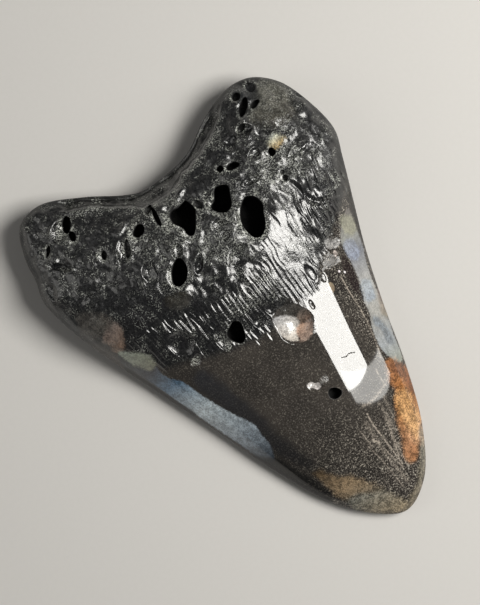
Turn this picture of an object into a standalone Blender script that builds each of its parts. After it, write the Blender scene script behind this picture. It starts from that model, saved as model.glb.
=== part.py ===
"""A polished megalodon tooth, lying on its labial face with the lingual face up and the tip towards -Y.

The tooth is one solid. Its body is a sphere whose equator is drawn out to the rim of the tooth and whose
two halves take the heights of the lingual and the labial face. Borings, hollows and the fine grooves of the
band between root and crown are then cut into it.
"""

import math
import random

import bmesh
import bpy
import numpy as np
from mathutils import Matrix, Vector, noise

MM = 0.001

# Driving dimensions
LENGTH = 123.5 * MM  # tip to the top of the longer lobe, along Y
WIDTH = 89.6 * MM  # across the root, along X
CREST = 23.5 * MM  # highest point of the root above the labial face
TIP_CREST = 10.0 * MM  # height the crown's back is heading for at the tip
CROWN_BASE_CREST = 18.5 * MM  # and where the crown meets the root
CROWN_RIM_HEIGHT = 3.2 * MM  # the cutting edge above the labial face
ROOT_RIM_HEIGHT = 8.5 * MM  # the root's edge above the labial face

# The rim, counter-clockwise from the tip, as shares of half the width and half the length
RIM = (
    (0.02, -1.0),  # tip
    (0.21, -0.935),
    (0.39, -0.745),
    (0.525, -0.49),
    (0.63, -0.22),  # right cutting edge
    (0.735, 0.015),
    (0.84, 0.21),
    (0.945, 0.405),
    (1.0, 0.52),  # right corner of the root
    (0.97, 0.69),
    (0.895, 0.83),
    (0.765, 0.915),
    (0.6, 0.93),  # top of the right lobe
    (0.4, 0.88),
    (0.2, 0.805),
    (0.01, 0.785),  # notch
    (-0.145, 0.79),
    (-0.24, 0.82),
    (-0.44, 0.915),
    (-0.69, 1.0),  # top of the left lobe
    (-0.85, 0.975),
    (-0.94, 0.845),
    (-0.965, 0.74),
    (-1.0, 0.65),  # left corner of the root
    (-0.96, 0.465),
    (-0.86, 0.23),
    (-0.75, 0.005),
    (-0.62, -0.245),  # left cutting edge
    (-0.485, -0.52),
    (-0.335, -0.76),
    (-0.17, -0.915),
)
BODY_MIDDLE = (4.7 * MM, 14.1 * MM)  # the whole rim can be seen from here
MERIDIANS = 72
PARALLELS = 32
RIM_SAMPLES = 4 * MERIDIANS

# How fast each face rises from the rim: the length of its shoulder and the rounding of its edge
CROWN_SHOULDER = 9.0 * MM
ROOT_SHOULDER = 5.5 * MM
CROWN_EDGE_ROUNDING = 0.5 * MM
ROOT_EDGE_ROUNDING = 2.2 * MM
LABIAL_SHOULDER = (7.0 * MM, 13.0 * MM)  # crown, root
CROWN_TO_ROOT = (2.0 * MM, 30.0 * MM)  # Y over which the crown's edge turns into the root's

# The swelling of the root, and the fall of its lobes
SWELLING_AT = (1.0 * MM, 25.0 * MM)
SWELLING_REACH = (27.0 * MM, 22.0 * MM)
LOBE_FALL_FROM = 40.0 * MM
LOBE_FALL = 0.22

LUMP_SIZE = 8.0 * MM
LUMP_HEIGHT = 0.45 * MM

# Borings: middle X and Y, half length, half width, turn from +X in degrees, depth. All but the turn in mm.
BORINGS = {
    "large": (13.5, 25.6, 5.8, 3.5, 62, 11.0),
    "middle": (9.2, 34.1, 4.2, 2.7, 55, 10.0),
    "paired_upper": (-1.4, 37.4, 3.4, 2.2, 0, 10.0),
    "paired_lower": (-1.3, 33.8, 3.0, 2.1, 80, 10.0),
    "left": (-11.1, 25.3, 3.5, 2.1, 52, 9.5),
    "far_left": (-13.0, 40.3, 2.1, 1.5, 20, 6.0),
    "crown_edge": (-8.1, 3.5, 3.1, 2.2, 72, 8.0),
    "crown": (3.2, -24.4, 1.8, 1.35, -12, 5.0),
    "top_round": (13.7, 40.8, 1.0, 0.9, 0, 4.0),
    "top_long": (16.8, 39.6, 1.9, 1.0, -15, 5.0),
    "right_round": (27.3, 36.5, 1.3, 1.0, 80, 4.0),
    "right_low": (26.3, 28.9, 1.3, 0.8, 90, 2.5),
    "left_lobe_upper": (-27.8, 52.8, 2.3, 1.3, 60, 4.0),
    "left_lobe_lower": (-28.1, 49.6, 1.4, 1.0, 80, 4.0),
    "left_slit": (-35.7, 49.9, 1.5, 0.7, 48, 2.0),
    "left_small": (-24.3, 40.3, 1.2, 0.8, 55, 2.0),
    "right_lobe_long": (28.4, 50.8, 3.0, 1.3, 40, 4.5),
    "right_lobe_upper": (28.4, 54.0, 1.3, 1.1, 0, 3.5),
    "right_lobe_lower": (31.4, 49.5, 1.4, 0.9, 15, 3.0),
    "notch_slit": (-6.9, 40.6, 2.6, 0.9, 84, 4.0),
}
BORING_SIDES = 12
BORING_TAPER = 0.72  # width at the bottom over width at the mouth
BORING_OVERHANG = 3.0  # mm that a cutter stands above the mouth

# Hollows: open dishes, by the same numbers
HOLLOWS = {
    "pocket": (5.6, -3.2, 5.6, 4.8, 95, 2.6),
    "dimple": (-21.4, 9.9, 3.9, 3.1, -38, 1.5),
    "right_olive": (23.2, 38.5, 1.9, 1.6, 20, 1.3),
    "beside_crown_edge": (-12.2, 4.4, 2.9, 1.6, 80, 1.6),
    "crown_nick": (0.3, -19.2, 1.7, 1.0, -30, 0.9),
    "row_first": (-1.3, 2.7, 1.9, 1.5, 20, 0.7),
    "row_second": (2.9, 3.5, 1.6, 1.4, 80, 0.7),
    "row_third": (6.3, 2.4, 1.9, 1.6, 20, 0.8),
    "rough_nick": (-20.6, 4.0, 1.6, 1.2, 20, 0.8),
    "beside_paired": (3.6, 36.6, 1.5, 1.3, 20, 1.6),
    "centre_dish": (4.6, 28.0, 3.0, 2.5, 80, 1.3),
    "long_dish": (-5.0, 24.0, 2.4, 1.1, 48, 1.1),
    "left_dish": (-8.7, 31.4, 2.2, 1.8, 60, 1.0),
    "far_left_dish": (-19.4, 38.2, 2.6, 1.5, 62, 1.2),
    "crescent": (24.3, 45.4, 2.0, 1.5, 0, 1.4),
    "left_lobe_dish": (-29.9, 52.6, 2.2, 1.8, 30, 1.4),
    "left_furrow": (-35.4, 44.6, 3.2, 0.9, -45, 0.9),
    "right_furrow": (33.2, 33.8, 2.9, 1.2, 28, 0.8),
    "upper_furrow": (18.6, 32.8, 2.2, 0.8, -8, 0.8),
    "notch_shelf": (-1.8, 46.6, 7.0, 2.8, 0, 2.2),
    "left_ledge": (-15.7, 52.0, 7.5, 1.8, -38, 1.7),
    "right_ledge": (11.6, 48.7, 6.5, 1.6, 14, 1.5),
    "rim_nick": (42.0, 45.2, 1.6, 0.8, 105, 1.0),
    "band_nick": (26.6, 8.0, 1.9, 1.3, 0, 0.7),
    "band_patch": (17.0, 4.9, 2.5, 1.1, 90, 0.6),
    "root_centre_left": (-17.5, 29.5, 2.6, 1.9, 70, 0.9),
    "root_centre_low": (4.5, 19.5, 2.8, 2.2, 30, 0.8),
}
HOLLOW_SIDES = 10
HOLLOW_RINGS = 6

# The same cutters on the labial face, where the root is pitted too
LABIAL_HOLLOWS = {
    "root_right": (16.0, 31.0, 2.4, 1.7, 35, 2.2),
    "root_middle": (-3.5, 27.5, 1.8, 1.4, 80, 2.0),
    "root_left": (-21.0, 36.0, 2.8, 1.7, -40, 1.8),
    "lobe_right": (27.5, 41.5, 1.6, 1.2, 0, 1.6),
    "crown": (-6.5, -8.0, 1.5, 1.1, 20, 0.9),
}

# Fine grooves run along the tooth in the band between root and crown: X, then the band's lower and upper Y
GROOVE_BAND = ((-20, 9.5, 17.5), (-12, 5.0, 13.5), (-4, 1.0, 13.0), (6, 3.5, 12.5), (12, 0.0, 13.5),
               (20, 5.5, 17.5), (30, 10.0, 20.5), (37, 17.0, 24.0))  # mm
GROOVE_SPACING = 1.35
GROOVE_WIDTH = 0.62
GROOVE_DEPTH = 0.42
GROOVE_SIDES = 4
GROOVE_RINGS = 4
GROOVE_SEED = 7


def curve_through(points, samples):
    """A smooth closed curve through the points, as evenly spaced samples."""
    points = np.array(points)
    steps = np.linspace(0, 1, 16, endpoint=False)[:, None]
    before, after, beyond = (np.roll(points, shift, axis=0) for shift in (1, -1, -2))
    run = []
    for p0, p1, p2, p3 in zip(before, points, after, beyond):
        knots = np.cumsum([0] + [math.dist(a, b) ** 0.5 for a, b in ((p0, p1), (p1, p2), (p2, p3))])
        t = knots[1] + steps * (knots[2] - knots[1])

        def mix(a, b, ta, tb):
            return ((tb - t) * a + (t - ta) * b) / (tb - ta)

        first, second, third = (mix(a, b, ta, tb) for a, b, ta, tb in
                                zip((p0, p1, p2), (p1, p2, p3), knots, knots[1:]))
        early = mix(first, second, knots[0], knots[2])
        late = mix(second, third, knots[1], knots[3])
        run.append(mix(early, late, knots[1], knots[2]))
    run = np.vstack(run)
    closed = np.vstack([run, run[:1]])
    length = np.concatenate([[0], np.cumsum(np.linalg.norm(np.diff(closed, axis=0), axis=1))])
    at = np.linspace(0, length[-1], samples, endpoint=False)
    return np.column_stack([np.interp(at, length, closed[:, k]) for k in (0, 1)])


def rim_outline():
    """The rim, sized and centred so that the ends of the meridians span WIDTH by LENGTH about the origin."""
    rim = curve_through(RIM, RIM_SAMPLES)
    ends = rim[::RIM_SAMPLES // MERIDIANS]
    low, high = ends.min(0), ends.max(0)
    return (rim - (low + high) / 2) * (WIDTH, LENGTH) / (high - low)


def smooth_step(value, low, high):
    share = np.clip((value - low) / (high - low), 0, 1)
    return share * share * (3 - 2 * share)


def distance_inwards(x, y, rim):
    """Distance from the rim: the true one near it, and without a crease where the two sides meet."""
    total = np.zeros_like(x)
    for start, end in zip(rim, np.roll(rim, -1, axis=0)):
        length = math.dist(start, end)
        ux, uy = (end - start) / length
        along = (x - start[0]) * ux + (y - start[1]) * uy
        off = np.maximum(np.abs((x - start[0]) * uy - (y - start[1]) * ux), 0.02 * MM)
        for s, sign in ((along, 1), (along - length, -1)):
            total += sign * (s / (2 * off**2 * (off**2 + s**2)) + np.arctan(s / off) / (2 * off**3))
    return (math.pi / 2 / total) ** (1 / 3)


def rootness(y):
    """0 on the crown, 1 on the root."""
    return smooth_step(y, *CROWN_TO_ROOT)


def rim_height(y):
    return CROWN_RIM_HEIGHT + (ROOT_RIM_HEIGHT - CROWN_RIM_HEIGHT) * rootness(y)


def lumps(x, y):
    """The root's low swellings and hollows."""
    size = np.array([noise.noise(Vector((a / LUMP_SIZE, b / LUMP_SIZE, 3.0))) for a, b in zip(x, y)])
    return LUMP_HEIGHT * size * smooth_step(y, 8 * MM, 20 * MM)


def lingual_height(x, y, inwards):
    """Height of the upper face above the ground."""
    root = rootness(y)
    along_crown = np.clip((y + LENGTH / 2) / (LENGTH / 2 + 10 * MM), 0, 1)
    crest = TIP_CREST + (CROWN_BASE_CREST - TIP_CREST) * np.sin(along_crown * math.pi / 2)
    swelling = np.exp(-((x - SWELLING_AT[0]) / SWELLING_REACH[0]) ** 2
                      - ((y - SWELLING_AT[1]) / SWELLING_REACH[1]) ** 2)
    crest = crest + (CREST - CROWN_BASE_CREST) * swelling
    crest = crest - LOBE_FALL * np.logaddexp(0, (y - LOBE_FALL_FROM) / (4 * MM)) * 4 * MM
    shoulder = CROWN_SHOULDER + (ROOT_SHOULDER - CROWN_SHOULDER) * root
    rounding = CROWN_EDGE_ROUNDING + (ROOT_EDGE_ROUNDING - CROWN_EDGE_ROUNDING) * root
    run = np.sqrt(inwards**2 + 2 * rounding * inwards)
    rise = 1 - np.exp(-run / shoulder)
    return rim_height(y) + (crest - rim_height(y)) * rise + lumps(x, y) * rise


def labial_height(x, y, inwards):
    """Height of the lower face above the ground: it curves down from the rim to a flat."""
    shoulder = LABIAL_SHOULDER[0] + (LABIAL_SHOULDER[1] - LABIAL_SHOULDER[0]) * rootness(y)
    rounding = CROWN_EDGE_ROUNDING + (ROOT_EDGE_ROUNDING - CROWN_EDGE_ROUNDING) * rootness(y)
    run = np.sqrt(inwards**2 + 2 * rounding * inwards)
    return rim_height(y) * np.maximum(1 - run / shoulder, 0) ** 2


def height_at(x, y, rim):
    """The upper face's height at one point."""
    x, y = np.array([x]), np.array([y])
    return float(lingual_height(x, y, distance_inwards(x, y, rim))[0])


def new_object(name, mesh, collection):
    obj = bpy.data.objects.new(name, mesh)
    collection.objects.link(obj)
    return obj


def make_body(rim, collection):
    """The tooth before anything is cut into it."""
    bm = bmesh.new()
    bmesh.ops.create_uvsphere(bm, u_segments=MERIDIANS, v_segments=PARALLELS, radius=1.0)
    unit = np.array([v.co for v in bm.verts])
    turn = np.arctan2(unit[:, 1], unit[:, 0]) / (2 * math.pi) % 1.0
    out = np.linalg.norm(unit[:, :2], axis=1)
    place = np.arange(RIM_SAMPLES + 1) / RIM_SAMPLES
    closed = np.vstack([rim, rim[:1]])
    edge = np.column_stack([np.interp(turn, place, closed[:, k]) for k in (0, 1)])
    plan = np.array(BODY_MIDDLE) + out[:, None] * (edge - BODY_MIDDLE)
    on_rim = out > 0.9999
    x, y = plan[:, 0], plan[:, 1]
    inwards = np.where(on_rim, 0.0, distance_inwards(x, y, rim))
    z = np.where(unit[:, 2] >= 0, lingual_height(x, y, inwards), labial_height(x, y, inwards))
    z = np.where(on_rim, rim_height(y), z)
    for v, place_at in zip(bm.verts, np.column_stack([x, y, z])):
        v.co = place_at
    bmesh.ops.recalc_face_normals(bm, faces=bm.faces)
    mesh = bpy.data.meshes.new("tooth")
    bm.to_mesh(mesh)
    bm.free()
    return new_object("tooth", mesh, collection)


def place_cutter(name, bm, x, y, z, turn, collection):
    mesh = bpy.data.meshes.new(name)
    bm.to_mesh(mesh)
    bm.free()
    cutter = new_object(name, mesh, collection)
    cutter.location = (x * MM, y * MM, z)
    cutter.rotation_euler.z = math.radians(turn)
    cutter.hide_render = True
    cutter.display_type = "WIRE"
    return cutter


def make_boring(name, numbers, rim, collection):
    """A tapering oval hole with a blind end."""
    x, y, half_length, half_width, turn, depth = numbers
    height = depth + BORING_OVERHANG
    mouth = 1.0 + (1.0 - BORING_TAPER) * BORING_OVERHANG / depth
    bm = bmesh.new()
    bmesh.ops.create_cone(bm, cap_ends=True, segments=BORING_SIDES,
                          radius1=BORING_TAPER, radius2=mouth, depth=height)
    bmesh.ops.scale(bm, vec=(half_length * MM, half_width * MM, MM), verts=bm.verts)
    middle = height_at(x * MM, y * MM, rim) + (BORING_OVERHANG - depth) / 2 * MM
    place_cutter(name, bm, x, y, middle, turn, collection)


def make_hollow(name, numbers, surface, collection):
    """An open dish: the half of an ellipsoid that lies inside the tooth."""
    x, y, half_length, half_width, turn, depth = numbers
    bm = bmesh.new()
    bmesh.ops.create_uvsphere(bm, u_segments=HOLLOW_SIDES, v_segments=HOLLOW_RINGS, radius=1.0)
    bmesh.ops.scale(bm, vec=(half_length * MM, half_width * MM, depth * MM), verts=bm.verts)
    place_cutter(name, bm, x, y, surface, turn, collection)


def make_groove(name, x, start, end, rim, collection):
    """A spindle that follows the upper face and sinks into it, with its ends running out."""
    bm = bmesh.new()
    bmesh.ops.create_uvsphere(bm, u_segments=GROOVE_SIDES, v_segments=GROOVE_RINGS, radius=1.0)
    bmesh.ops.rotate(bm, cent=(0, 0, 0), matrix=Matrix.Rotation(math.pi / 2, 3, "X"), verts=bm.verts)
    size = Vector((GROOVE_WIDTH / 2, (end - start) / 2, GROOVE_DEPTH)) * MM
    bmesh.ops.scale(bm, vec=size, verts=bm.verts)
    middle = (start + end) / 2
    level = height_at(x * MM, middle * MM, rim)
    for v in bm.verts:
        v.co.z += height_at(x * MM + v.co.x, middle * MM + v.co.y, rim) - level
    place_cutter(name, bm, x, middle, level, 0.0, collection)


def make_grooves(rim, collection):
    """Side by side across the band, each with its own length, spacing and place."""
    draw = random.Random(GROOVE_SEED)
    across, low, high = zip(*GROOVE_BAND)
    x = across[0]
    number = 0
    while x < across[-1]:
        lower = np.interp(x, across, low) + draw.uniform(-1.0, 2.0)
        upper = np.interp(x, across, high) + draw.uniform(-3.0, 1.0)
        number += 1
        make_groove(f"groove_{number:02d}", x, lower, upper, rim, collection)
        x += GROOVE_SPACING * draw.uniform(0.8, 1.35)


def put_in_order(mesh):
    """The same mesh with its corners and faces numbered by place."""
    places = [tuple(v.co) for v in mesh.vertices]
    order = sorted(range(len(places)), key=places.__getitem__)
    number = {old: new for new, old in enumerate(order)}
    faces = []
    for face in mesh.polygons:
        corners = [number[v] for v in face.vertices]
        first = corners.index(min(corners))
        faces.append(corners[first:] + corners[:first])
    ordered = bpy.data.meshes.new(mesh.name)
    ordered.from_pydata([places[v] for v in order], [], sorted(faces))
    return ordered


def cut(body, cutters):
    """Takes the cutters out of the body, then joins the triangles of its flat."""
    boolean = body.modifiers.new("cavities", "BOOLEAN")
    boolean.operation = "DIFFERENCE"
    boolean.solver = "EXACT"
    boolean.operand_type = "COLLECTION"
    boolean.collection = cutters
    evaluated = body.evaluated_get(bpy.context.evaluated_depsgraph_get())
    body.data = put_in_order(evaluated.data)
    body.modifiers.remove(boolean)
    for cutter in list(cutters.objects):
        bpy.data.objects.remove(cutter)
    bpy.data.collections.remove(cutters)
    flatten = body.modifiers.new("flat", "DECIMATE")
    flatten.decimate_type = "DISSOLVE"
    flatten.angle_limit = math.radians(0.3)


def fossil_material():
    """Polished fossil: near-black root, brown-grey crown."""
    material = bpy.data.materials.new("polished_fossil")
    material.use_nodes = True
    shader = material.node_tree.nodes["Principled BSDF"]
    shader.inputs["Base Color"].default_value = (0.045, 0.042, 0.039, 1.0)
    shader.inputs["Roughness"].default_value = 0.25
    shader.inputs["Metallic"].default_value = 0.0
    return material


def new_collection(name):
    collection = bpy.data.collections.new(name)
    bpy.context.scene.collection.children.link(collection)
    return collection


def main():
    for obj in list(bpy.data.objects):
        bpy.data.objects.remove(obj)
    rim = rim_outline()
    parts = new_collection("megalodon_tooth")
    cutters = new_collection("cutters")
    body = make_body(rim, parts)
    for name, numbers in BORINGS.items():
        make_boring(f"boring_{name}", numbers, rim, cutters)
    for name, numbers in HOLLOWS.items():
        surface = height_at(numbers[0] * MM, numbers[1] * MM, rim)
        make_hollow(f"hollow_{name}", numbers, surface, cutters)
    for name, numbers in LABIAL_HOLLOWS.items():
        make_hollow(f"labial_{name}", numbers, 0.0, cutters)
    make_grooves(rim, cutters)
    cut(body, cutters)
    body.data.materials.append(fossil_material())
    body.data.shade_smooth()
    body.data.set_sharp_from_angle(angle=math.radians(35))


main()
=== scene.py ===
"""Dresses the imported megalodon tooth: its finished surface, a floor, soft studio light and the camera."""

import math
from functools import partial

import bpy
import numpy as np
from bpy.props import FloatProperty, FloatVectorProperty, PointerProperty
from mathutils import Matrix, Vector, noise
from mathutils.geometry import delaunay_2d_cdt


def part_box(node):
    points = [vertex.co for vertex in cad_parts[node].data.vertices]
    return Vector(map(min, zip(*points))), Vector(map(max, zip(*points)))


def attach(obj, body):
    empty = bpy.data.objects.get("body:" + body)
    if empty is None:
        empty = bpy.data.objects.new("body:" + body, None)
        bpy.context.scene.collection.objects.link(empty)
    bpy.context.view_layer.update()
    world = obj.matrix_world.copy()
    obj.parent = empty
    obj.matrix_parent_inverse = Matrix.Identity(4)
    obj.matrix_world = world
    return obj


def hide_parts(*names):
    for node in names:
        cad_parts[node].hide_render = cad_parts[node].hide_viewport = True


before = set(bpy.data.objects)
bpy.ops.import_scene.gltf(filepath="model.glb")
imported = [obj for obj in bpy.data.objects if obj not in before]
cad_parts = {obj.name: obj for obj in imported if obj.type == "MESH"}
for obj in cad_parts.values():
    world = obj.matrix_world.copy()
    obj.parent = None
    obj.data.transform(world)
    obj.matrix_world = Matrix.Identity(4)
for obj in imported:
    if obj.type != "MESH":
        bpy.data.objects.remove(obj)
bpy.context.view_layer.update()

bl_info = {
    "name": "Megalodon Tooth",
    "version": (1, 0, 0),
    "blender": (4, 5, 0),
    "location": "View3D > Sidebar > Tooth",
    "description": "Builds a polished fossil tooth on a pale floor",
    "category": "Add Mesh",
}

LOW, HIGH = (np.array(corner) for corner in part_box("tooth"))
SIZE = HIGH - LOW
MIDDLE = (LOW + HIGH) / 2

# Places below are in millimetres from the middle of the tooth's box. MM takes them to the frame's size.
NOMINAL_WIDTH = 89.6
NOMINAL_LENGTH = 123.5
MM = float(SIZE[1]) / NOMINAL_LENGTH

# ---- the form of the body

# The rim from the tip over the right edge, the root and the left edge, as shares of the half width and length
RIM = (
    (0.02, -1), (0.21, -0.935), (0.39, -0.745), (0.525, -0.49), (0.63, -0.22), (0.735, 0.015), (0.84, 0.21),
    (0.945, 0.405), (1, 0.52), (0.97, 0.69), (0.895, 0.83), (0.765, 0.915), (0.6, 0.93), (0.4, 0.88),
    (0.2, 0.805), (0.01, 0.785), (-0.145, 0.79), (-0.24, 0.82), (-0.44, 0.915), (-0.69, 1), (-0.85, 0.975),
    (-0.94, 0.845), (-0.965, 0.74), (-1, 0.65), (-0.96, 0.465), (-0.86, 0.23), (-0.75, 0.005),
    (-0.62, -0.245), (-0.485, -0.52), (-0.335, -0.76), (-0.17, -0.915),
)
RIM_POINT_SPACING = 0.45
CURVE_STEPS = 20  # samples between two points of a curve
COARSE_RIM_POINTS = 240  # enough for distances from the rim

TIP_CREST = 10.0
CROWN_BASE_CREST = 18.5
CREST = 22.8
SWELLING = (1.0, 25.0, 27.0, 22.0)  # middle X and Y, reach across and along the tooth
LOBE_FALL_FROM = 40.0
LOBE_FALL = 0.22
CROWN_TO_ROOT = (2.0, 30.0)  # Y over which the crown's edge turns into the root's
# Each of these is for the crown and for the root
RIM_HEIGHT = (3.2, 8.5)
SHOULDER = (9.0, 5.5)
EDGE_ROUNDING = (0.5, 2.2)
LABIAL_SHOULDER = (7.0, 13.0)
TOP_MARGIN = 0.5  # relief is pressed flatter over this much under the top of the box

# ---- cavities of the upper face

# Mouths of the wide borings: anticlockwise outline, depth, and width of the collar that slopes into them
CAVITIES = (
    (((12.6, 30), (10.9, 28.1), (9.8, 25.7), (9.7, 23.3), (10.4, 20.9), (11.8, 20.2), (13.8, 21),
        (15.2, 22.7), (16.1, 24.6), (17.3, 26.6), (17.2, 28.5), (16.6, 29.8), (14.8, 31)), 11, 1.3),
    (((8.8, 36.9), (7.6, 35.2), (5.9, 34.2), (5.9, 32.9), (6.8, 31.6), (8.3, 30.6), (10.3, 31),
        (11.9, 33.7), (12.8, 36.1), (11.6, 37.2), (9.8, 37.7)), 10, 1.4),
    (((0.1, 39.4), (-1.1, 39.3), (-3, 39.6), (-4.1, 39), (-4.6, 37.8), (-4.6, 36.2), (-3.8, 34.8),
        (-3.3, 33.5), (-3.4, 32.2), (-3, 31.1), (-2, 30.8), (-0.8, 31.6), (1, 34), (2.3, 36.1), (2.1, 38.1),
        (1.5, 39.5)), 10, 1.8),
    (((-11.5, 27.4), (-13.2, 25.4), (-13.9, 23.4), (-13, 22.1), (-11, 22.2), (-9.1, 23.7), (-8.2, 25.6),
        (-8.2, 27.4), (-9, 28.4)), 9.5, 1.3),
    (((-14.4, 38.9), (-12.8, 38.8), (-11.5, 39.7), (-11.3, 41), (-12.5, 41.8), (-14.1, 41.2), (-15, 40.2)),
        5.5, 1.6),
    (((-10.1, 5.1), (-10.6, 3.9), (-9.9, 1.9), (-8.4, 0.5), (-7, 1), (-5.9, 3.3), (-5.7, 5.4), (-6.9, 6.5),
        (-8.7, 5.9)), 7.5, 0.5),
    (((1.8, -24.9), (2.8, -26), (4.7, -25.9), (5.4, -25), (4.6, -23.5), (3.2, -22.8), (2.2, -23.4)), 4.5,
        0.1),
)
MOUTH_WALL = 0.2  # width over which a wall falls
COLLAR_SLOPE = 0.4  # how far a collar falls for each mm of its width, on its steep side
# The steep side's slope faces the softbox; a collar's pale crystals gather there as painted highlight
COLLAR_STEEP_SIDE = (-0.99, -0.16)  # the direction of that side from the cavity

# An oval is given by its middle X and Y, half length, half width, and turn from +X in degrees.

# Mouths of the smaller borings: oval, depth, collar
OVAL_CAVITIES = (
    (13.7, 40.8, 1, 0.9, 0, 3.5, 0.8), (16.8, 39.5, 1.9, 0.95, -15, 4.5, 0.8),
    (27.3, 36.5, 1.25, 0.95, 80, 3.5, 0.8), (26.1, 28.9, 0.9, 0.75, 90, 1.8, 0.7),
    (26.4, 30.6, 0.7, 0.6, 0, 1.2, 0.6), (-27.6, 53, 2.3, 1.3, 62, 3.5, 1.3),
    (-28.1, 49.5, 1.5, 1, 80, 3.5, 1.2), (-35.6, 50, 1.5, 0.6, 48, 1.8, 0.9),
    (-24.2, 40.4, 1.2, 0.8, 55, 1.8, 0.9), (-18.3, 38, 2.6, 0.9, 58, 1.2, 0.9),
    (28.4, 50.6, 3, 1.2, 42, 3, 0.8), (28.4, 54, 1.3, 1.1, 0, 2.5, 0.8), (33, 53.8, 1.2, 1.6, 20, 1.2, 0.6),
    (31.2, 49.5, 1.5, 0.9, 15, 2.5, 0.8), (-7.2, 40.6, 2.9, 0.7, 80, 2.8, 0.7),
    (-7.8, 43.3, 1.4, 0.8, 30, 2, 0.6), (3.6, 36.6, 1, 1.5, 20, 1.6, 0.6),
    (24.6, 46.3, 1.3, 0.9, 10, 1.3, 0.6), (41.9, 45.3, 1.8, 0.5, 105, 1.2, 0.3),
    (12.3, -2.1, 1.5, 0.6, 80, 0.12, 0.25), (19, 2, 1.5, 0.7, 80, 0.12, 0.25),
)

# Open bowls with a rounded bottom: oval, depth, lip
BOWLS = (
    (5.6, -3.2, 5.6, 4.8, 95, 2.6, 0), (-21.4, 9.9, 3.9, 3.3, -38, 1.35, 0),
    (-1.3, 2.7, 1.9, 1.5, 20, 0.6, 0), (2.9, 3.5, 1.6, 1.4, 80, 0.65, 0), (6.3, 2.4, 1.9, 1.6, 20, 0.7, 0),
    (23.2, 38.5, 1.9, 1.6, 20, 1.3, 0.3), (-12, 4.4, 3.3, 1.7, 80, 0.9, 0.1),
    (0.3, -19.3, 1.8, 1.15, -35, 0.7, 0), (-20.8, 4, 1.8, 1.4, 20, 0.6, 0.1),
    (4.8, 27.4, 3.1, 2.5, 80, 1.49, 0.2), (-5.4, 23.8, 2.6, 1.2, 48, 1.22, 0.3),
    (-8, 30, 2, 1.5, 60, 1.08, 0.2), (-19.5, 38, 3, 1.9, 62, 1.22, 0.2),
    (24.6, 45.2, 2.2, 1.8, 0, 1.35, 0.4), (-29.9, 52.4, 3, 2.4, 30, 1.49, 0.25),
    (-35.6, 44.8, 3.4, 1, -48, 1.22, 0.3), (33.2, 33, 3.2, 1.1, 8, 0.81, 0.15),
    (18.6, 33.3, 2.6, 0.9, -8, 0.94, 0.3), (26.6, 8, 2, 1.3, 0, 0.6, 0.15),
    (17, 4.9, 2.5, 1.1, 90, 0.4, 0.1), (-17, 29.5, 3, 2, 70, 0.94, 0.15),
    (4.5, 19.6, 3.2, 2.4, 30, 0.94, 0.15), (-41, 41, 2.4, 1.4, 75, 0.81, 0.1),
    (19.5, 44.5, 2.6, 1.6, 30, 0.94, 0.15),
)

# Bumps: oval, height
BUMPS = (
    (-3, 12, 7, 4.5, 0, 0.8), (9.5, 18.5, 7, 8, 0, 0.4), (3, 8, 5, 3.6, 0, 0.8),
    (1.7, 42.2, 2.2, 1, 25, 1.17), (-4.4, 41.9, 1.3, 1, 0, 1.04), (9.3, 28.3, 1.8, 0.6, 70, 0.91),
    (11.3, 31, 1.6, 0.6, -40, 1.04), (34.6, 33.8, 2.4, 1.2, 10, 1.17), (-8.8, 32.3, 1.3, 1, 20, 0.91),
    (-21.5, 38.7, 1.9, 1.3, 30, 0.91), (-31.2, 53.2, 1.2, 1.4, 0, 0.91), (-29.6, 49, 1, 1, 0, 0.78),
    (-5, 25.4, 2.4, 1, 48, 0.78), (-2.2, 22.6, 1.6, 1.1, 20, 0.65), (-16, 43.4, 2.4, 0.7, 25, 0.78),
    (-24.5, 42.6, 1.6, 0.7, 70, 0.65), (24, 44.3, 1.4, 0.6, -30, 0.78), (26.3, 47.6, 1.2, 0.6, 30, 0.65),
    (6, 31.2, 1.4, 1, 0, 0.52), (1.8, 31.8, 1.4, 1.2, 40, 0.52), (12.6, 44.4, 2, 1, 15, 0.52),
    (4.6, 46, 1, 0.7, 0, 0.65), (-22, 29, 2.4, 1.6, 10, 0.52), (32, 43.6, 2.6, 1.6, 0, 0.65),
    (21, 27, 2.6, 1.2, 70, 0.52), (8.7, 24.3, 1.5, 1.2, 0, 0.65), (-1.8, 16.8, 2.2, 1.4, 15, 0.52),
)

# Spots without polish: oval, strength
ROUGH_SPOTS = (
    (-12.4, 4.2, 3.4, 1.6, 75, 1), (-21.2, 3.8, 1.8, 1.4, 20, 1), (-16.6, 7.6, 1.2, 0.9, 0, 1),
    (-13.5, 11.7, 1.8, 0.9, 140, 1), (0.3, -19.3, 2, 1.3, -35, 1), (3, -20, 1.6, 1.2, 0, 1),
    (8.4, -1.2, 3, 3, 0, 1), (8, -6.6, 2.4, 1.8, 0, 1), (-37.5, 27, 4, 3.5, 0, 1),
    (-35, 21.5, 2, 2.5, 0, 1), (27, 7.6, 1.6, 1.3, 0, 1), (3, -4, 2.4, 4, 0, 1), (22.8, 4.2, 2, 1.5, 0, 1),
)

# Furrows, each along its own line: points, depth, half width
FURROWS = (
    (((10.4, -18.2), (11.5, -18.75), (12.6, -18.5), (13.3, -18.75), (14.2, -19.3)), 0.05, 0.15),
    (((26.9, 26.5), (27.3, 24.4), (27.5, 22.2), (28.4, 19.7), (30.3, 18.1), (33.5, 16.8), (36.9, 15.6),
        (39, 16.5)), 0.7, 0.75),
    (((-37.5, 45.8), (-35.5, 45.2), (-33.2, 43.6)), 0.6, 0.5),
    (((-36, 34), (-33.5, 35), (-31, 33.6)), 0.35, 0.8),
)
FINEST_NET_HOLDS = 0.3  # furrows and streaks narrower than this get points of their own
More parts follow.
